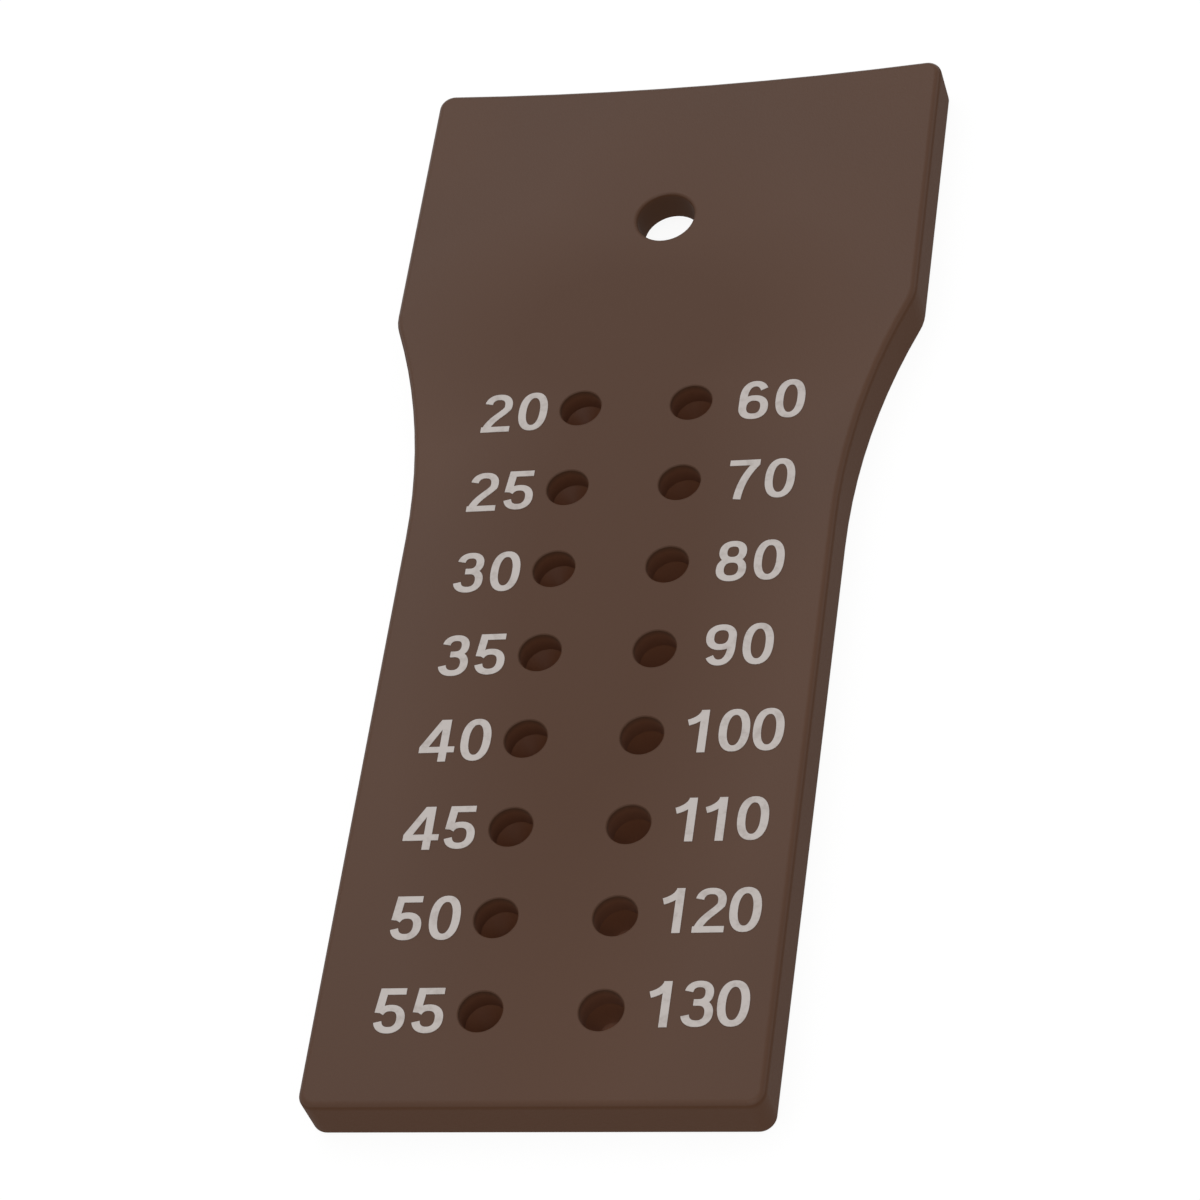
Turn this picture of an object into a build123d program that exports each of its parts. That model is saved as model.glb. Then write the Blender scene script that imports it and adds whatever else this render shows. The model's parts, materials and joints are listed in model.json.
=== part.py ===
from build123d import *
import os
from math import sqrt

# Endodontic point gauge: one moulded plastic plate with a wider head, a hang
# hole, and two columns of stepped gauge holes. All sizes are in millimetres.
# The plate lies on its flat back: X is its width, Y runs from the free end
# towards the head, and Z rises from the back face to the printed front face.
# The origin is the middle of the back face, halfway along the plate.

# Gauge holes, by their ISO sizes in hundredths of a millimetre, head end first
left_sizes = (20, 25, 30, 35, 40, 45, 50, 55)
right_sizes = (60, 70, 80, 90, 100, 110, 120, 130)
size_unit = 0.01
column_spacing = 5.8
row_pitch = 5.0

# Section of a gauge hole: a wide mouth, a conical lead-in and a calibrated bore
mouth_diameter = 2.15
mouth_chamfer = 0.05
lead_in_height = 1.0
calibrated_length = 0.4

# Plate, with its length built up along Y from what it carries
plate_thickness = 2.7
body_width = 22.2
end_to_last_row = 4.95
first_row_to_hang_hole = 12.4
hang_hole_to_head_end = 9.65

# Head, the hollow flanks of the neck under it, and the hollow edge on top
head_overhang = 2.75
head_side_length = 15.75
neck_radius = 36.5
shoulder_radius = 2.5
top_edge_radius = 180.0
corner_radius = 0.8

# Hang hole, opened out at the back for a ring, and the softened edges of the moulding
hang_hole_diameter = 3.05
hang_rim_radius = 0.2
hang_back_chamfer = 0.9
front_edge_radius = 0.35
back_edge_radius = 0.3
largest_edge_share = 0.8

# Worked out from the sizes above
row_count = len(left_sizes)
plate_length = (
    end_to_last_row
    + (row_count - 1) * row_pitch
    + first_row_to_hang_hole
    + hang_hole_to_head_end
)
half_body = body_width / 2
half_head = half_body + head_overhang
top_y = plate_length / 2
bottom_y = -top_y
shoulder_y = top_y - head_side_length
neck_foot_y = shoulder_y - sqrt(neck_radius**2 - (neck_radius - head_overhang) ** 2)
first_row_y = bottom_y + end_to_last_row + (row_count - 1) * row_pitch
hang_hole_y = top_y - hang_hole_to_head_end

# The head's rounded corners reach top_y where the hollow top edge runs into them
corner_to_arc_centre = top_edge_radius + corner_radius
top_arc_centre_y = (
    top_y - corner_radius + sqrt(corner_to_arc_centre**2 - (half_head - corner_radius) ** 2)
)
head_corner_y = top_arc_centre_y - sqrt(top_edge_radius**2 - half_head**2)


def flank(side):
    """One side of the outline, from the bottom corner up to the head's corner."""
    foot = (side * half_body, neck_foot_y)
    shoulder = (side * half_head, shoulder_y)
    Line((side * half_body, bottom_y), foot)
    RadiusArc(foot, shoulder, side * neck_radius)
    Line(shoulder, (side * half_head, head_corner_y))


def outline():
    """The plate's plan: straight end, hollow neck, and a wider head with a hollow top edge."""
    with BuildSketch() as plan:
        with BuildLine():
            flank(-1)
            flank(1)
            Line((-half_body, bottom_y), (half_body, bottom_y))
            RadiusArc((-half_head, head_corner_y), (half_head, head_corner_y), -top_edge_radius)
        make_face()
        ends = plan.vertices().group_by(Axis.Y)
        fillet(ends[0] + ends[-1], corner_radius)
        shoulders = [v for v in plan.vertices() if abs(v.Y - shoulder_y) < 1e-6]
        fillet(shoulders, shoulder_radius)
    return plan.sketch


def edge_rounding(wanted):
    """The radius of a face's long edge, limited by the corners and by half the wall."""
    return min(wanted, largest_edge_share * corner_radius, largest_edge_share * plate_thickness / 2)


def blank():
    """The plate with rounded edges and no holes, the front edge softer than the back one."""
    with BuildPart() as body:
        add(outline())
        extrude(amount=plate_thickness)
        fillet(body.faces().sort_by(Axis.Z)[-1].edges(), edge_rounding(front_edge_radius))
        fillet(body.faces().sort_by(Axis.Z)[0].edges(), edge_rounding(back_edge_radius))
    return body.part


def turned(*profile):
    """A solid turned about Z from (radius, height) points, closed along the axis."""
    with BuildPart() as tool:
        with BuildSketch(Plane.XZ):
            with BuildLine():
                Polyline(*profile, close=True)
            make_face()
        revolve(axis=Axis.Z)
    return tool.part


def gauge_hole(size):
    """What one gauge hole takes out: mouth, lead-in cone and calibrated bore, right through."""
    bore = size * size_unit / 2
    mouth = mouth_diameter / 2
    past = mouth_chamfer
    return turned(
        (0, -past),
        (bore, -past),
        (bore, calibrated_length),
        (mouth, calibrated_length + lead_in_height),
        (mouth, plate_thickness - mouth_chamfer),
        (mouth + mouth_chamfer + past, plate_thickness + past),
        (0, plate_thickness + past),
    )


def gauge_plate():
    """The whole moulding: blank, hang hole, and the gauge holes in their two columns."""
    with BuildPart() as plate:
        add(blank())
        with Locations((0, hang_hole_y, plate_thickness)):
            Hole(hang_hole_diameter / 2)
        faces = plate.faces().sort_by(Axis.Z)
        back_rim = faces[0].inner_wires().edges()
        front_rim = faces[-1].inner_wires().edges()
        chamfer(back_rim, hang_back_chamfer)
        fillet(front_rim, hang_rim_radius)
        for side, sizes in ((-1, left_sizes), (1, right_sizes)):
            for row, size in enumerate(sizes):
                with Locations((side * column_spacing / 2, first_row_y - row * row_pitch)):
                    add(gauge_hole(size), mode=Mode.SUBTRACT)
    return plate.part


os.makedirs("parts", exist_ok=True)
export_step(gauge_plate(), "parts/gauge_plate.step")
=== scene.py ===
"""Looks for the endodontic point gauge: its moulded finish, its printed numbers and the studio."""

import json
from math import cos, hypot, radians, sin

import bmesh
import bpy
from bpy.props import FloatProperty, FloatVectorProperty, PointerProperty
from mathutils import Matrix, Vector
from mathutils.geometry import delaunay_2d_cdt, interpolate_bezier

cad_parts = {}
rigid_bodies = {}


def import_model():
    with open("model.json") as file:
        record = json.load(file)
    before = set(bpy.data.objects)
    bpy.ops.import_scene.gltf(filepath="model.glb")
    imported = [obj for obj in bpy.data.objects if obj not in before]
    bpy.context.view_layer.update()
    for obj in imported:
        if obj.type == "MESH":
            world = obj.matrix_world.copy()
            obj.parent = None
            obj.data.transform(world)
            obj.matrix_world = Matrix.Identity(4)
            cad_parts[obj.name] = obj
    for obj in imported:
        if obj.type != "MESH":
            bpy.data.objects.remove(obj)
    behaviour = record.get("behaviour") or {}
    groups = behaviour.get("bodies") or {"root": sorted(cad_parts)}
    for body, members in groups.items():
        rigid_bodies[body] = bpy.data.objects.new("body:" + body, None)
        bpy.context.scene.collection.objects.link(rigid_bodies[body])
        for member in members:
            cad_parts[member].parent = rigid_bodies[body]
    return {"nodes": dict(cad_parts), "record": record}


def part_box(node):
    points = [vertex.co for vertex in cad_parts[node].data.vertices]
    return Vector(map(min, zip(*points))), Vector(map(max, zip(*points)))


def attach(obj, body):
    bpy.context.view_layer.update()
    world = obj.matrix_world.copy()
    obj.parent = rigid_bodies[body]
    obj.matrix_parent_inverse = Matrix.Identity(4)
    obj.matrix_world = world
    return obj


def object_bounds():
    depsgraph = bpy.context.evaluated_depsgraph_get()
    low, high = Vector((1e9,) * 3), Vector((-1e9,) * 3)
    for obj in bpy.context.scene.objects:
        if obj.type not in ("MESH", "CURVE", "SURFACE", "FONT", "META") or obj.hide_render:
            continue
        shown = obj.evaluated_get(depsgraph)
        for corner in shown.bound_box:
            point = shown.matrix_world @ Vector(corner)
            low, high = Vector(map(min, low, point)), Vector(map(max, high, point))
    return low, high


bl_info = {
    "name": "Point gauge looks",
    "version": (1, 0, 0),
    "blender": (4, 5, 0),
    "location": "3D View > Sidebar > Point gauge",
    "description": "Finishes a moulded point gauge, prints its numbers and sets its studio",
    "category": "Object",
}

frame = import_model()
CAD_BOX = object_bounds()
PLATE_NODE = "gauge_plate"
BODY = "root"
MM = 0.001

# The sizes that the gauge's numbers stand for are in this share of a millimetre
SIZE_UNIT = 0.01

# The dull ovals of the face, in plan, each by its middle and its reach: a long streak down the plate and
# a wider patch between the hang hole and the first row. They are rougher, and their darker colour is
# painted shade for their weaker sheen
DULL_SHADED_OVALS = (
    ((0.0, -1 * MM), (10 * MM, 33 * MM)),
    ((-1 * MM, 14 * MM), (14 * MM, 9.5 * MM)),
)

# How far the oval round the gauge holes reaches past their middles, across and along the plate
HOLES_MARGIN = (6.1 * MM, 4.5 * MM)

# Share of an oval's reach over which it fades in from its rim
SOFT_RIM = 0.6
SHARP_RIM = 0.02

# How far up a surface faces where it stops being all wall and where it is all face, on the plate
# and in its gauge holes, where the cone under the mouth counts as wall
WALL_TO_FACE = (0.5, 0.95)
CONE_TO_FACE = (0.8, 0.95)

# Depth of a gauge hole's rim, which keeps the face's colour and none of the painted light deep in the
# hole
HOLE_RIM = 0.1 * MM

# Moves the ink's patches away from the pattern of the plate's clouds
INK_OFFSET = (0.3, 0.5, 0.1)


# Sizes and colours that a user would change


class PlateFinish(bpy.types.PropertyGroup):
    """Dark brown moulded plastic with a satin surface"""

    brown: FloatVectorProperty(
        name="Brown",
        description="The moulding's main colour",
        subtype="COLOR",
        size=3,
        default=(0.0755, 0.0278, 0.0092),
    )
    # Also painted shade: besides colouring the darker clouds, this colour is laid over the dull ovals to
    # darken them for their weaker sheen
    deep_brown: FloatVectorProperty(
        name="Deep brown",
        description="Colour of the darker clouds and of the dull ovals",
        subtype="COLOR",
        size=3,
        default=(0.0685, 0.0252, 0.0084),
    )
    # Painted shade: the walls round the plate and in its holes get this darker colour in place of the
    # shade they are in
    side_brown: FloatVectorProperty(
        name="Side brown",
        description="Colour of the walls round the plate",
        subtype="COLOR",
        size=3,
        default=(0.0620, 0.0228, 0.0074),
    )
    # Painted light: the walls deep in the gauge holes get this paler, redder colour in place of light
    # that comes through the plastic
    hole_brown: FloatVectorProperty(
        name="Hole brown",
        description="Colour deep in the gauge holes, lifted by the light that comes through the plastic",
        subtype="COLOR",
        size=3,
        default=(0.127, 0.044, 0.0175),
    )
    # Depth over which the painted light in a gauge hole fades in
    hole_fade: FloatProperty(
        name="Hole fade",
        description="Depth over which a gauge hole takes on its own colour",
        unit="LENGTH",
        default=0.35 * MM,
    )
    cloud_size: FloatProperty(
        name="Cloud size",
        description="Width of the faint clouds of colour and gloss",
        unit="LENGTH",
        default=14 * MM,
    )
    grain_size: FloatProperty(
        name="Grain size",
        description="Width of one grain of the mould's texture",
        unit="LENGTH",
        default=0.14 * MM,
    )
    grain_depth: FloatProperty(
        name="Grain depth",
        description="Height of the mould's texture",
        unit="LENGTH",
        default=0.009 * MM,
    )
    head_roughness: FloatProperty(
        name="Head roughness",
        description="Roughness of the satin face at the head's end",
        subtype="FACTOR",
        min=0,
        max=1,
        default=0.41,
    )
    foot_roughness: FloatProperty(
        name="Foot roughness",
        description="Roughness of the satin face at the free end",
        subtype="FACTOR",
        min=0,
        max=1,
        default=0.53,
    )
    dulling: FloatProperty(
        name="Dulling",
        description="How much rougher the face is in the middle of its dull ovals",
        subtype="FACTOR",
        min=0,
        max=1,
        default=0.12,
    )
    side_roughness: FloatProperty(
        name="Side roughness",
        description="Roughness of the duller walls, round the plate and in its holes",
        subtype="FACTOR",
        min=0,
        max=1,
        default=0.95,
    )
    shine: FloatProperty(
        name="Shine",
        description="Specular level of the plastic, where 0.5 is plain clear plastic",
        subtype="FACTOR",
        min=0,
        max=1,
        default=0.39,
    )


class NumberPrint(bpy.types.PropertyGroup):
    """Numbers printed beside the holes"""

    ink: FloatVectorProperty(
        name="Ink",
        description="Light warm grey of the print",
        subtype="COLOR",
        size=3,
        default=(0.50, 0.455, 0.43),
    )
    thin_ink: FloatVectorProperty(
        name="Thin ink",
        description="Ink where it lies thin and the brown shows through",
        subtype="COLOR",
        size=3,
        default=(0.42, 0.375, 0.35),
    )
    patch_size: FloatProperty(
        name="Patch size",
        description="Width of the patches where the ink lies thin or thick",
        unit="LENGTH",
        default=0.5 * MM,
    )
    grain_size: FloatProperty(
        name="Ink grain size",
        description="Width of one grain of the ink",
        unit="LENGTH",
        default=0.07 * MM,
    )
    grain_depth: FloatProperty(
        name="Ink grain depth",
        description="Height of the ink's grain",
        unit="LENGTH",
        default=0.004 * MM,
    )
    thin_roughness: FloatProperty(
        name="Thin ink roughness",
        description="Roughness of the ink where it lies thin",
        subtype="FACTOR",
        min=0,
        max=1,
        default=0.72,
    )
    ink_roughness: FloatProperty(
        name="Ink roughness",
        description="Roughness of the ink where it lies thick",
        subtype="FACTOR",
        min=0,
        max=1,
        default=0.55,
    )
    digit_height: FloatProperty(
        name="Digit height",
        description="Height of a printed digit",
        unit="LENGTH",
        default=2.4 * MM,
    )
    film_thickness: FloatProperty(
        name="Ink thickness",
        description="How far the ink stands above the face",
        unit="LENGTH",
        default=0.03 * MM,
    )
    digit_advance: FloatProperty(
        name="Digit advance",
        description="From one digit to the next in a number of two digits",
        unit="LENGTH",
        default=1.87 * MM,
    )
    tight_advance: FloatProperty(
        name="Tight advance",
        description="From one digit to the next in a number of three digits",
        unit="LENGTH",
        default=1.67 * MM,
    )
    ones_kerning: FloatProperty(
        name="Ones kerning",
        description="How much closer two ones stand than other digits",
        unit="LENGTH",
        default=0.20 * MM,
    )
    first_drop: FloatProperty(
        name="First drop",
        description="How far the numbers of the first row are printed below the middle of their holes",
        unit="LENGTH",
        default=0.09 * MM,
    )
    left_closing: FloatProperty(
        name="Left closing",
        description="By what share the printed rows on the left are closer together than the holes",
        subtype="FACTOR",
        min=0,
        max=0.1,
        precision=3,
        default=0.004,
    )
    right_closing: FloatProperty(
        name="Right closing",
        description="By what share the printed rows on the right are closer together than the holes",
        subtype="FACTOR",
        min=0,
        max=0.1,
        precision=3,
        default=0.010,
    )
    left_gap: FloatProperty(
        name="Left gap",
        description="From the middle of a hole to the number on its left",
        unit="LENGTH",
        default=1.56 * MM,
    )
    right_gap: FloatProperty(
        name="Right gap",
        description="From the middle of a hole to the two digits on its right",
        unit="LENGTH",
        default=2.35 * MM,
    )
    tight_right_gap: FloatProperty(
        name="Tight right gap",
        description="From the middle of a hole to the three digits on its right",
        unit="LENGTH",
        default=1.94 * MM,
    )


class StudioSetup(bpy.types.PropertyGroup):
    """Pale floor, soft lights and the camera"""

    floor_colour: FloatVectorProperty(
        name="Floor",
        description="Colour of the pale floor, which is lit from below as a light table is",
        subtype="COLOR",
        size=3,
        default=(0.10, 0.10, 0.10),
    )
    floor_glow: FloatProperty(
        name="Floor glow",
        description="Strength of the light that comes up through the floor",
        default=0.92,
    )
    floor_width: FloatProperty(
        name="Floor width",
        description="Side of the square floor",
        unit="LENGTH",
        default=4.0,
    )
    sky_strength: FloatProperty(
        name="Sky strength",
        description="Strength of the even white light from all round",
        default=0.69,
    )
    key_power: FloatProperty(
        name="Key power",
        description="Power of the soft light beyond the head's left corner",
        unit="POWER",
        default=0.96,
    )
    fill_power: FloatProperty(
        name="Fill power",
        description="Power of the soft light over the camera, which reaches into the holes",
        unit="POWER",
        default=0.72,
    )
    camera_target: FloatVectorProperty(
        name="Camera target",
        description="Point that the camera looks at",
        subtype="XYZ",
        unit="LENGTH",
        size=3,
        default=(-0.252 * MM, -3.057 * MM, 2.7 * MM),
    )
    camera_azimuth: FloatProperty(
        name="Camera azimuth",
        description="Turn of the camera round the plate, from the free end towards +X",
        subtype="ANGLE",
        default=radians(26.34),
    )
    camera_elevation: FloatProperty(
        name="Camera elevation",
        description="Height of the camera above the horizon",
        subtype="ANGLE",
        default=radians(51.44),
    )
    camera_roll: FloatProperty(
        name="Camera roll",
        description="Turn of the camera about its own axis",
        subtype="ANGLE",
        default=radians(-23.36),
    )
    camera_distance: FloatProperty(
        name="Camera distance",
        description="From the camera to its target",
        unit="LENGTH",
        default=205.48 * MM,
    )
    camera_lens: FloatProperty(
        name="Focal length",
        description="Focal length for a sensor 36 mm wide",
        unit="CAMERA",
        default=126.0,
    )


# Shader nodes


def new_material(name):
    """A node material with nothing in it but its output and a Principled shader."""
    material = bpy.data.materials.new(name)
    material.use_nodes = True
    tree = material.node_tree
    tree.nodes.clear()
    output = tree.nodes.new("ShaderNodeOutputMaterial")
    shader = tree.nodes.new("ShaderNodeBsdfPrincipled")
    tree.links.new(shader.outputs["BSDF"], output.inputs["Surface"])
    return material, tree, shader


def cloud(tree, size, detail, roughness=0.5, offset=(0, 0, 0)):
    """Noise on Object coordinates with features of a real size, in metres. Gives its Fac socket."""
    place = tree.nodes.new("ShaderNodeTexCoord")
    move = tree.nodes.new("ShaderNodeMapping")
    move.inputs["Location"].default_value = offset
    noise = tree.nodes.new("ShaderNodeTexNoise")
    noise.inputs["Scale"].default_value = 1 / size
    noise.inputs["Detail"].default_value = detail
    noise.inputs["Roughness"].default_value = roughness
    tree.links.new(place.outputs["Object"], move.inputs["Vector"])
    tree.links.new(move.outputs["Vector"], noise.inputs["Vector"])
    return noise.outputs["Fac"]


def between(tree, factor, low, high, start=0.35, end=0.65):
    """A colour that goes from low to high as the factor goes from start to end."""
    ramp = tree.nodes.new("ShaderNodeValToRGB")
    first, last = ramp.color_ramp.elements
    first.position = start
    first.color = (*low, 1)
    last.position = end
    last.color = (*high, 1)
    tree.links.new(factor, ramp.inputs["Fac"])
    return ramp.outputs["Color"]


def spread(tree, factor, low, high, start=0.35, end=0.65):
    """A number that goes from low to high as the factor goes from start to end."""
    remap = tree.nodes.new("ShaderNodeMapRange")
    remap.inputs["From Min"].default_value = start
    remap.inputs["From Max"].default_value = end
    remap.inputs["To Min"].default_value = low
    remap.inputs["To Max"].default_value = high
    tree.links.new(factor, remap.inputs["Value"])
    return remap.outputs["Result"]


def bump(tree, height, depth):
    """A normal that raises the surface by the height map times a depth in metres."""
    node = tree.nodes.new("ShaderNodeBump")
    node.inputs["Distance"].default_value = depth
    tree.links.new(height, node.inputs["Height"])
    return node.outputs["Normal"]


def facing_up(tree):
    """How far the surface faces up or down: 1 on the faces, 0 on the walls."""
    place = tree.nodes.new("ShaderNodeTexCoord")
    parts = tree.nodes.new("ShaderNodeSeparateXYZ")
    size = tree.nodes.new("ShaderNodeMath")
    size.operation = "ABSOLUTE"
    tree.links.new(place.outputs["Normal"], parts.inputs["Vector"])
    tree.links.new(parts.outputs["Z"], size.inputs[0])
    return size.outputs["Value"]


def place_along(tree, axis):
    """The place along the plate's X, Y or Z, in metres."""
    place = tree.nodes.new("ShaderNodeTexCoord")
    parts = tree.nodes.new("ShaderNodeSeparateXYZ")
    tree.links.new(place.outputs["Object"], parts.inputs["Vector"])
    return parts.outputs[axis]


def patch(tree, centre, reach):
    """An oval patch of the plan: 1 in its middle, down to 0 at its reach. Both are in metres."""
    place = tree.nodes.new("ShaderNodeTexCoord")
    fit = tree.nodes.new("ShaderNodeMapping")
    fit.inputs["Location"].default_value = (-centre[0] / reach[0], -centre[1] / reach[1], 0)
    fit.inputs["Scale"].default_value = (1 / reach[0], 1 / reach[1], 0)
    fade = tree.nodes.new("ShaderNodeTexGradient")
    fade.gradient_type = "SPHERICAL"
    tree.links.new(place.outputs["Object"], fit.inputs["Vector"])
    tree.links.new(fit.outputs["Vector"], fade.inputs["Vector"])
    return fade.outputs["Fac"]


def combined(tree, operation, first, *others):
    """Several numbers made one, such as their product or the largest of them."""
    result = first
    for other in others:
        node = tree.nodes.new("ShaderNodeMath")
        node.operation = operation
        tree.links.new(result, node.inputs[0])
        tree.links.new(other, node.inputs[1])
        result = node.outputs["Value"]
    return result


def laid_over(tree, factor, under, over):
    """A colour socket with another colour laid over it, as far as the factor says."""
    mix = tree.nodes.new("ShaderNodeMix")
    mix.data_type = "RGBA"
    colours = {s.name: s for s in mix.inputs if s.type == "RGBA"}
    colours["B"].default_value = (*over, 1)
    tree.links.new(factor, mix.inputs["Factor"])
    tree.links.new(under, colours["A"])
    return next(s for s in mix.outputs if s.type == "RGBA")


def hole_depths(tree, look):
    """Where the painted light deep in a gauge hole lies: 1 on a wall deep in a hole, 0 at the rim and
    all over the rest.
    """
    columns = [x for _, x, _ in gauge_holes()]
    rows = [y for _, _, y in gauge_holes()]
    middle = ((min(columns) + max(columns)) / 2, (min(rows) + max(rows)) / 2)
    reach = (max(columns) - middle[0] + HOLES_MARGIN[0], max(rows) - middle[1] + HOLES_MARGIN[1])
    rim = CAD_BOX[1].z - HOLE_RIM
    field = spread(tree, patch(tree, middle, reach), 0, 1, 0, SHARP_RIM)
    walls = spread(tree, facing_up(tree), 1, 0, *CONE_TO_FACE)
    depth = spread(tree, place_along(tree, "Z"), 1, 0, rim - look.hole_fade, rim)
    return combined(tree, "MULTIPLY", field, walls, depth)


def moulded_gloss(tree, look, dull):
    """The roughness: satin faces, glossier towards the head, rougher where dull and on the walls."""
    foot, head = CAD_BOX[0].y, CAD_BOX[1].y
    along = spread(tree, place_along(tree, "Y"), look.foot_roughness, look.head_roughness, foot, head)
    faces = combined(tree, "ADD", along, spread(tree, dull, 0, look.dulling, 0, 1))
    walls = spread(tree, facing_up(tree), look.side_roughness, 0, *WALL_TO_FACE)
    return combined(tree, "MAXIMUM", faces, walls)


def moulded_plastic(look):
    """Satin brown plastic: faint clouds of colour, dull ovals and walls darkened by painted shade,
    painted light deep in the gauge holes, and the mould's grain.
    """
    material, tree, shader = new_material("moulded_brown_plastic")
    clouds = cloud(tree, look.cloud_size, detail=1)
    grain = cloud(tree, look.grain_size, detail=2, roughness=0.6)
    ovals = [patch(tree, middle, reach) for middle, reach in DULL_SHADED_OVALS]
    dull = spread(tree, combined(tree, "MAXIMUM", *ovals), 0, 1, 0, SOFT_RIM)
    walls = spread(tree, facing_up(tree), 1, 0, *WALL_TO_FACE)
    colour = between(tree, clouds, look.deep_brown, look.brown)
    # Painted shade: the dull ovals get the darker colour, for their weaker sheen
    colour = laid_over(tree, dull, colour, look.deep_brown)
    # Painted shade: the walls get a darker colour for the shade they are in
    colour = laid_over(tree, walls, colour, look.side_brown)
    # Painted light: a paler, redder colour deep in the gauge holes, for light coming through the plastic
    colour = laid_over(tree, hole_depths(tree, look), colour, look.hole_brown)
    tree.links.new(colour, shader.inputs["Base Color"])
    tree.links.new(moulded_gloss(tree, look, dull), shader.inputs["Roughness"])
    tree.links.new(bump(tree, grain, look.grain_depth), shader.inputs["Normal"])
    shader.inputs["Specular IOR Level"].default_value = look.shine
    return material


def printed_ink(look):
    """Matt ink, a little uneven, with the brown showing through where it lies thin."""
    material, tree, shader = new_material("printed_grey_ink")
    patches = cloud(tree, look.patch_size, detail=3, roughness=0.6, offset=INK_OFFSET)
    grain = cloud(tree, look.grain_size, detail=1)
    colour = between(tree, patches, look.thin_ink, look.ink, start=0.28, end=0.50)
    roughness = spread(tree, patches, look.thin_roughness, look.ink_roughness)
    tree.links.new(colour, shader.inputs["Base Color"])
    tree.links.new(roughness, shader.inputs["Roughness"])
    tree.links.new(bump(tree, grain, look.grain_depth), shader.inputs["Normal"])
    return material


# Digits, each the strokes of a broad pen in a cell one digit high

# The pen: how wide an upright stroke and how high a level one is
STEM = 0.165
BAR = 0.138

# The cell's width and middle, and half the width of a wide bowl's spine
CELL = 0.78
MIDDLE = CELL / 2
HALF = 0.2325

# Heights of level spines: at the foot, at the top, at the waist and in the bar of the four
LOW = BAR / 2
HIGH = 1 - BAR / 2
WAIST = 0.53
CROSSBAR = 0.285

# A bowl is drawn in steps of so many degrees, and a power over 2 makes it squarer than an ellipse
BOWL_STEP = 9
BOWL_POWER = 2.3

# The turn under which two runs lie in one line, and the distance within which points are one
NO_TURN = 1e-4
SAME_POINT = 1e-5


def bowl(centre, half_width, half_height, start, end):
    """Spine of a bowl a little squarer than an ellipse, from one angle to another in degrees."""
    steps = round(abs(end - start) / BOWL_STEP)
    points = []
    for i in range(steps + 1):
        angle = radians(start + (end - start) * i / steps)
        across, up = cos(angle), sin(angle)
        x = half_width * abs(across) ** (2 / BOWL_POWER) * (1 if across > 0 else -1)
        y = half_height * abs(up) ** (2 / BOWL_POWER) * (1 if up > 0 else -1)
        points.append(Vector((centre[0] + x, centre[1] + y)))
    return points


def bend(start, leaving, arriving, end, steps=12):
    """Spine of one Bezier stretch."""
    corners = [Vector((*point, 0)) for point in (start, leaving, arriving, end)]
    return [point.to_2d() for point in interpolate_bezier(*corners, steps)]


def straight(*points):
    """Spine of straight runs."""
    return [Vector(point) for point in points]


def pen_reach(normal):
    """How far the pen's edge lies from the spine on one side: more beside an upright stroke."""
    return hypot(STEM / 2 * normal.x, BAR / 2 * normal.y)


def pen_edge(spine, side, closed):
    """One edge of a stroke: the spine's runs moved sideways and met again at their corners."""
    runs = []
    for here, there in zip(spine, spine[1:] + spine[:1]):
        along = (there - here).normalized()
        normal = Vector((-along.y, along.x)) * side
        runs.append((here + normal * pen_reach(normal), along))
    if not closed:
        last = spine[-1] - spine[-2]
        runs[-1] = (runs[-2][0] + last, runs[-2][1])
    points = []
    for i, (start, along) in enumerate(runs):
        before, before_along = runs[i - 1]
        turn = before_along.cross(along)
        if abs(turn) < NO_TURN or (i == 0 and not closed):
            points.append(start)
        else:
            points.append(before + before_along * (start - before).cross(along) / turn)
    return points


def stroke(spine, closed=False):
    """The four-sided patches of a stroke, one for each run of its spine."""
    left = pen_edge(spine, 1, closed)
    right = pen_edge(spine, -1, closed)
    count = len(spine)
    patches = []
    for i in range(count if closed else count - 1):
        j = (i + 1) % count
        patches.append([left[i], right[i], right[j], left[j]])
    return patches


def ring(centre, half_width, half_height):
    """The patches of a closed bowl."""
    return stroke(bowl(centre, half_width, half_height, 0, 360)[:-1], closed=True)


def turned_over(patches):
    """The patches turned half round in their cell."""
    return [[Vector((CELL - p.x, 1 - p.y)) for p in patch] for patch in patches]


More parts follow.
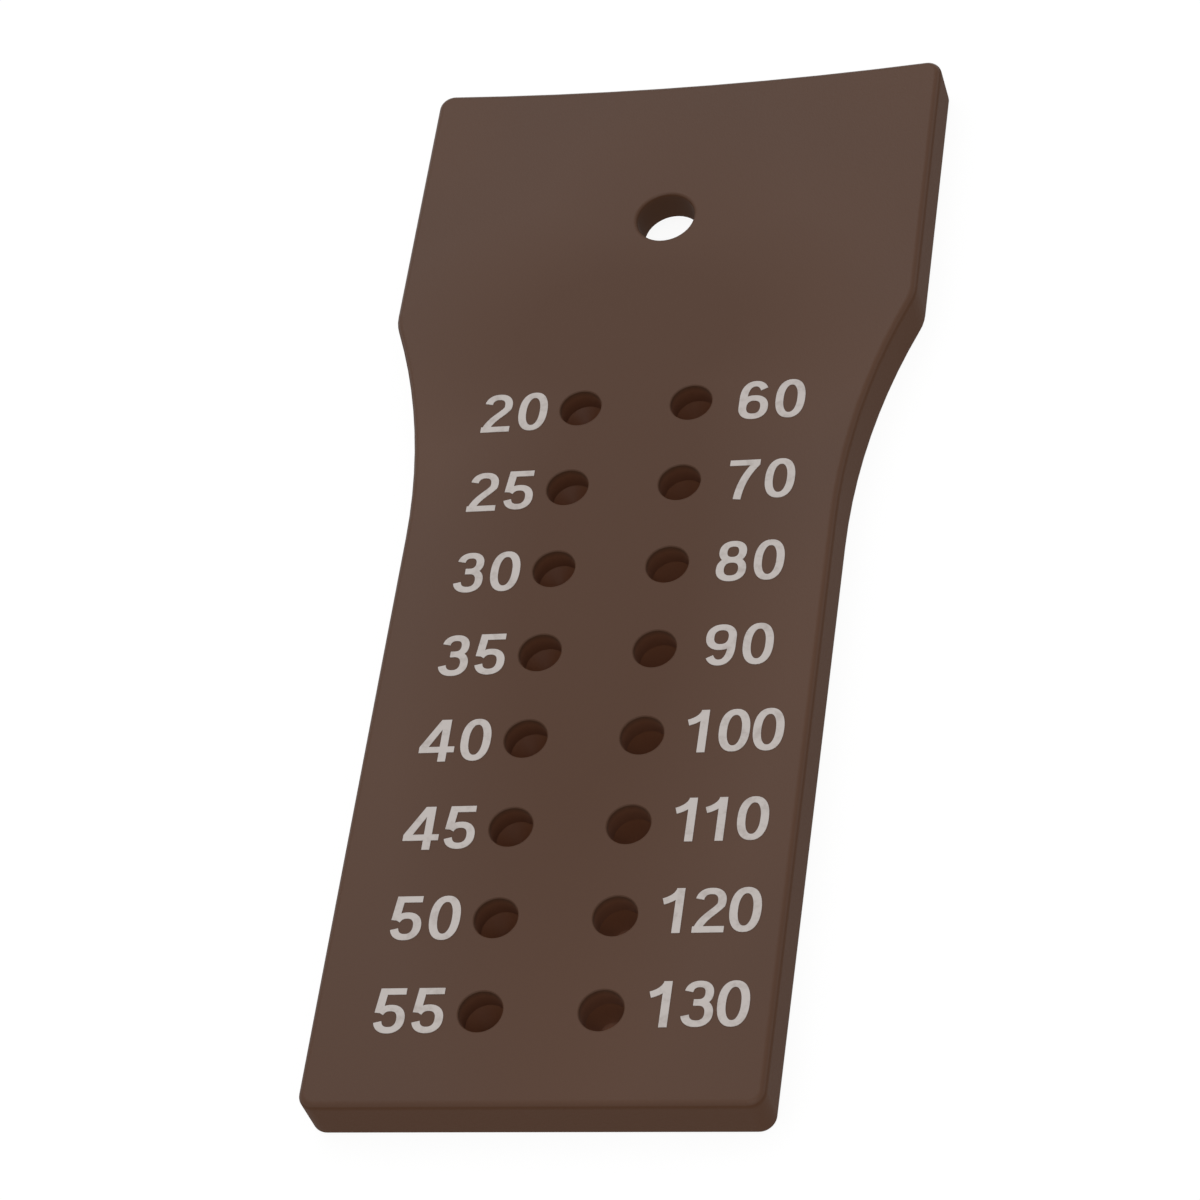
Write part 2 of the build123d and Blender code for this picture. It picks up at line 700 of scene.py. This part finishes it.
def digit_patches():
    """The patches of all ten digits, in order."""
    upper = (MIDDLE, (HIGH + WAIST) / 2)
    lower = (MIDDLE, (WAIST + LOW) / 2)
    upper_size = (0.205, (HIGH - WAIST) / 2)
    lower_size = (HALF, (WAIST - LOW) / 2)
    zero = ring((MIDDLE, 0.5), HALF, (HIGH - LOW) / 2)
    one_stem = 0.45
    one = stroke(straight((one_stem, 0), (one_stem, 1)))
    one += stroke(bend((one_stem, 0.975), (0.41, 0.83), (0.27, 0.75), (0.125, 0.71)))
    two_radius = 0.225
    two = stroke(
        bowl((MIDDLE - 0.01, 0.70), two_radius, two_radius, 170, -22)
        + bend((0.585, 0.61), (0.535, 0.49), (0.21, 0.33), (0.16, 0.03))[1:]
    )
    two += stroke(straight((0.07, LOW), (0.70, LOW)))
    three = stroke(bowl(upper, *upper_size, 170, -90) + straight((0.30, WAIST)))
    three += stroke(straight((0.30, WAIST)) + bowl(lower, *lower_size, 90, -170))
    four_stem = 0.51
    shelf = CROSSBAR + BAR / 2
    four = stroke(straight((four_stem, 0), (four_stem, 1)))
    four += stroke(straight((0.0, CROSSBAR), (0.74, CROSSBAR)))
    four.append(straight((0.0, shelf), (0.19, shelf), (0.56, 1), (0.385, 1)))
    five = stroke(straight((0.655, HIGH), (0.205, HIGH), (0.155, 0.46)))
    five += stroke(bowl((MIDDLE, 0.32), HALF, 0.245, 150, -168))
    six_ring = 0.315
    six_arch = 0.55
    six = ring((MIDDLE, six_ring), HALF, 0.24)
    six += stroke(
        bowl((MIDDLE, six_arch), HALF, HIGH - six_arch, 35, 180)
        + straight((MIDDLE - HALF, six_ring))
    )
    seven = stroke(straight((0.07, HIGH), (0.71, HIGH)))
    seven += stroke(bend((0.635, 0.90), (0.46, 0.68), (0.33, 0.38), (0.305, 0.0)))
    eight = ring(upper, *upper_size) + ring(lower, *lower_size)
    nine = turned_over(six)
    return [zero, one, two, three, four, five, six, seven, eight, nine]


def digit_mesh(name, patches):
    """A closed mesh of one digit, one unit high and one unit thick, with its patches made one shape."""
    corners = []
    faces = []
    for patch in patches:
        twice_area = sum(a.cross(b) for a, b in zip(patch, patch[1:] + patch[:1]))
        ordered = patch if twice_area > 0 else patch[::-1]
        faces.append(range(len(corners), len(corners) + len(patch)))
        corners += ordered
    over_hull = 0
    points, _, triangles, _, _, inside = delaunay_2d_cdt(corners, [], faces, over_hull, SAME_POINT)
    mesh = bmesh.new()
    made = [mesh.verts.new((p.x, p.y, 0)) for p in points]
    for triangle, owners in zip(triangles, inside):
        if owners:
            mesh.faces.new([made[i] for i in triangle])
    loose = [v for v in mesh.verts if not v.link_faces]
    bmesh.ops.delete(mesh, geom=loose, context="VERTS")
    bmesh.ops.dissolve_limit(mesh, angle_limit=radians(1), verts=mesh.verts, edges=mesh.edges)
    top = bmesh.ops.extrude_face_region(mesh, geom=mesh.faces[:])["geom"]
    raised = [v for v in top if isinstance(v, bmesh.types.BMVert)]
    bmesh.ops.translate(mesh, verts=raised, vec=(0, 0, 1))
    bmesh.ops.recalc_face_normals(mesh, faces=mesh.faces)
    data = bpy.data.meshes.new(name)
    mesh.to_mesh(data)
    mesh.free()
    return data


# Numbers, laid out from the gauge holes' places in the packed record


def gauge_holes():
    """Each gauge hole's size and place on the plate: its number, x and y."""
    holes = []
    for mount in frame["record"]["mounts"]:
        if mount["name"].startswith("gauge_"):
            number = round(2 * mount["dims"]["r_mm"] / SIZE_UNIT)
            holes.append((number, mount["pos_m"][0], mount["pos_m"][1]))
    if not holes:
        raise RuntimeError("the record has no gauge hole")
    return holes


def is_tight(text):
    """Numbers of three digits are set tighter than those of two."""
    return len(text) > 2


def digit_starts(text, look):
    """Where each digit of a number starts, from the start of the first."""
    advance = look.tight_advance if is_tight(text) else look.digit_advance
    starts = [0]
    for pair in zip(text, text[1:]):
        kerning = look.ones_kerning if pair == ("1", "1") else 0
        starts.append(starts[-1] + advance - kerning)
    return starts


def digit_places(look, face_height):
    """Where each digit's cell starts, and which digit it is."""
    places = []
    first_row = max(y for _, _, y in gauge_holes())
    for number, x, y in gauge_holes():
        text = str(number)
        starts = digit_starts(text, look)
        if x < 0:
            first = x - look.left_gap - CELL * look.digit_height - starts[-1]
            closing = look.left_closing
        else:
            first = x + (look.tight_right_gap if is_tight(text) else look.right_gap)
            closing = look.right_closing
        foot = y - look.first_drop + closing * (first_row - y) - look.digit_height / 2
        for start, digit in zip(starts, text):
            corner = Vector((first + start, foot, face_height))
            places.append((corner, int(digit)))
    return places


def point_mesh(places):
    """Loose points that carry the digit each stands for."""
    data = bpy.data.meshes.new("digit_places")
    data.from_pydata([corner for corner, _ in places], [], [])
    digits = data.attributes.new("digit", "INT", "POINT")
    digits.data.foreach_set("value", [digit for _, digit in places])
    return data


def number_tree():
    """Geometry nodes that set a digit on each point, to a height and a thickness."""
    tree = bpy.data.node_groups.new("set_digits", "GeometryNodeTree")
    sockets = (
        ("Points", "INPUT", "NodeSocketGeometry"),
        ("Digits", "INPUT", "NodeSocketCollection"),
        ("Height", "INPUT", "NodeSocketFloat"),
        ("Thickness", "INPUT", "NodeSocketFloat"),
        ("Ink", "INPUT", "NodeSocketMaterial"),
        ("Numbers", "OUTPUT", "NodeSocketGeometry"),
    )
    for name, direction, kind in sockets:
        tree.interface.new_socket(name, in_out=direction, socket_type=kind)
    given = tree.nodes.new("NodeGroupInput")
    result = tree.nodes.new("NodeGroupOutput")
    digit = tree.nodes.new("GeometryNodeInputNamedAttribute")
    digit.data_type = "INT"
    digit.inputs["Name"].default_value = "digit"
    shapes = tree.nodes.new("GeometryNodeCollectionInfo")
    shapes.inputs["Separate Children"].default_value = True
    shapes.inputs["Reset Children"].default_value = True
    scale = tree.nodes.new("ShaderNodeCombineXYZ")
    place = tree.nodes.new("GeometryNodeInstanceOnPoints")
    place.inputs["Pick Instance"].default_value = True
    real = tree.nodes.new("GeometryNodeRealizeInstances")
    paint = tree.nodes.new("GeometryNodeSetMaterial")
    links = (
        (given.outputs["Points"], place.inputs["Points"]),
        (given.outputs["Digits"], shapes.inputs["Collection"]),
        (shapes.outputs["Instances"], place.inputs["Instance"]),
        (digit.outputs["Attribute"], place.inputs["Instance Index"]),
        (given.outputs["Height"], scale.inputs["X"]),
        (given.outputs["Height"], scale.inputs["Y"]),
        (given.outputs["Thickness"], scale.inputs["Z"]),
        (scale.outputs["Vector"], place.inputs["Scale"]),
        (place.outputs["Instances"], real.inputs["Geometry"]),
        (real.outputs["Geometry"], paint.inputs["Geometry"]),
        (given.outputs["Ink"], paint.inputs["Material"]),
        (paint.outputs["Geometry"], result.inputs["Numbers"]),
    )
    for source, target in links:
        tree.links.new(source, target)
    return tree


def evaluated_piece(carrier, name):
    """A plain mesh object of what the carrier's modifiers make. The carrier is removed."""
    bpy.context.view_layer.update()
    graph = bpy.context.evaluated_depsgraph_get()
    data = bpy.data.meshes.new_from_object(carrier.evaluated_get(graph), depsgraph=graph)
    bpy.data.objects.remove(carrier)
    piece = bpy.data.objects.new(name, data)
    bpy.context.scene.collection.objects.link(piece)
    return piece


# Studio


def pale_surface(colour, glow):
    """Plain matt floor of frosted glass, lit evenly from below."""
    material, tree, shader = new_material("pale_floor")
    shader.inputs["Base Color"].default_value = (*colour, 1)
    shader.inputs["Specular IOR Level"].default_value = 0
    shader.inputs["Emission Color"].default_value = (1, 1, 1, 1)
    shader.inputs["Emission Strength"].default_value = glow
    mottle = cloud(tree, size=0.05, detail=2)
    tree.links.new(spread(tree, mottle, low=0.75, high=0.85), shader.inputs["Roughness"])
    return material


def pale_floor(setup):
    """The square floor under the plate's back."""
    half = setup.floor_width / 2
    corners = [(-half, -half, 0), (half, -half, 0), (half, half, 0), (-half, half, 0)]
    data = bpy.data.meshes.new("floor")
    data.from_pydata(corners, [], [(0, 1, 2, 3)])
    data.materials.append(pale_surface(setup.floor_colour, setup.floor_glow))
    floor = bpy.data.objects.new("floor", data)
    bpy.context.scene.collection.objects.link(floor)
    return floor


def aim(place, target):
    """The turn that points an object's -Z axis from a place at a target, with +Y up."""
    return (target - place).to_track_quat("-Z", "Y").to_matrix().to_4x4()


def from_target(azimuth, elevation):
    """The direction from the target to something at that azimuth and elevation."""
    return Vector((
        sin(azimuth) * cos(elevation),
        -cos(azimuth) * cos(elevation),
        sin(elevation),
    ))


def soft_light(name, azimuth, elevation, distance, width, power):
    """A square area light aimed at the plate."""
    data = bpy.data.lights.new(name, "AREA")
    data.shape = "SQUARE"
    data.size = width
    data.energy = power
    light = bpy.data.objects.new(name, data)
    place = from_target(azimuth, elevation) * distance
    light.matrix_world = Matrix.Translation(place) @ aim(place, Vector())
    bpy.context.scene.collection.objects.link(light)


def even_sky(strength):
    """A world of even white light."""
    world = bpy.data.worlds.new("even_sky")
    world.use_nodes = True
    light = world.node_tree.nodes["Background"]
    light.inputs["Color"].default_value = (1, 1, 1, 1)
    light.inputs["Strength"].default_value = strength
    bpy.context.scene.world = world


def aimed_camera(setup):
    """The camera, turned about its own axis and aimed at its target."""
    data = bpy.data.cameras.new("camera")
    data.lens = setup.camera_lens
    camera = bpy.data.objects.new("camera", data)
    bpy.context.scene.collection.objects.link(camera)
    target = Vector(setup.camera_target)
    direction = from_target(setup.camera_azimuth, setup.camera_elevation)
    place = target + direction * setup.camera_distance
    roll = Matrix.Rotation(setup.camera_roll, 4, "Z")
    camera.matrix_world = Matrix.Translation(place) @ aim(place, target) @ roll
    return camera


# One operator for each piece or group, and one for the stage


class GAUGE_OT_finish_plate(bpy.types.Operator):
    """Give the moulded plate its brown satin finish"""

    bl_idname = "gauge.finish_plate"
    bl_label = "Finish the plate"

    def execute(self, context):
        slots = frame["nodes"][PLATE_NODE].material_slots
        if not slots:
            raise RuntimeError("the plate has no material slot to finish")
        material = moulded_plastic(context.scene.plate_finish)
        for slot in slots:
            slot.material = material
        return {"FINISHED"}


class GAUGE_OT_print_numbers(bpy.types.Operator):
    """Print the size of each hole beside it"""

    bl_idname = "gauge.print_numbers"
    bl_label = "Print the numbers"

    def execute(self, context):
        look = context.scene.number_print
        face_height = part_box(PLATE_NODE)[1].z
        places = digit_places(look, face_height)
        shapes = bpy.data.collections.new("digits")
        for value, patches in enumerate(digit_patches()):
            name = f"digit_{value}"
            shapes.objects.link(bpy.data.objects.new(name, digit_mesh(name, patches)))
        carrier = bpy.data.objects.new("digit_places", point_mesh(places))
        context.scene.collection.objects.link(carrier)
        modifier = carrier.modifiers.new("set_digits", "NODES")
        modifier.node_group = number_tree()
        inputs = {s.name: s.identifier for s in modifier.node_group.interface.items_tree}
        modifier[inputs["Digits"]] = shapes
        modifier[inputs["Height"]] = look.digit_height
        modifier[inputs["Thickness"]] = look.film_thickness
        modifier[inputs["Ink"]] = printed_ink(look)
        numbers = evaluated_piece(carrier, "printed_numbers")
        for shape in list(shapes.objects):
            bpy.data.objects.remove(shape)
        bpy.data.collections.remove(shapes)
        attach(numbers, BODY)
        return {"FINISHED"}


class GAUGE_OT_set_studio(bpy.types.Operator):
    """Lay the pale floor, hang the soft lights and place the camera"""

    bl_idname = "gauge.set_studio"
    bl_label = "Set the studio"

    def execute(self, context):
        setup = context.scene.studio_setup
        pale_floor(setup)
        even_sky(setup.sky_strength)
        soft_light(
            "key_light",
            azimuth=radians(215),
            elevation=radians(62),
            distance=0.7,
            width=0.45,
            power=setup.key_power,
        )
        soft_light(
            "fill_light",
            azimuth=radians(20),
            elevation=radians(60),
            distance=0.7,
            width=0.3,
            power=setup.fill_power,
        )
        context.scene.camera = aimed_camera(setup)
        context.scene.view_settings.view_transform = "Standard"
        return {"FINISHED"}


class GAUGE_PT_looks(bpy.types.Panel):
    """Lists the gauge's pieces and their settings"""

    bl_idname = "GAUGE_PT_looks"
    bl_label = "Point gauge"
    bl_space_type = "VIEW_3D"
    bl_region_type = "UI"
    bl_category = "Point gauge"

    def draw(self, context):
        for settings_name, settings in SETTINGS.items():
            box = self.layout.box()
            box.label(text=settings.__doc__)
            for name in settings.__annotations__:
                box.prop(getattr(context.scene, settings_name), name)
        for operator in OPERATORS:
            self.layout.operator(operator.bl_idname)


SETTINGS = {"plate_finish": PlateFinish, "number_print": NumberPrint, "studio_setup": StudioSetup}
OPERATORS = (GAUGE_OT_finish_plate, GAUGE_OT_print_numbers, GAUGE_OT_set_studio)
CLASSES = (*SETTINGS.values(), *OPERATORS, GAUGE_PT_looks)


def register():
    """Registers the classes and hangs their settings on the scene."""
    for cls in CLASSES:
        bpy.utils.register_class(cls)
    for name, settings in SETTINGS.items():
        setattr(bpy.types.Scene, name, PointerProperty(type=settings))


def unregister():
    """Takes off what register added."""
    for name in SETTINGS:
        delattr(bpy.types.Scene, name)
    for cls in reversed(CLASSES):
        bpy.utils.unregister_class(cls)


def main():
    """Builds the looks."""
    register()
    bpy.ops.gauge.finish_plate()
    bpy.ops.gauge.print_numbers()
    bpy.ops.gauge.set_studio()


if __name__ == "__main__":
    main()
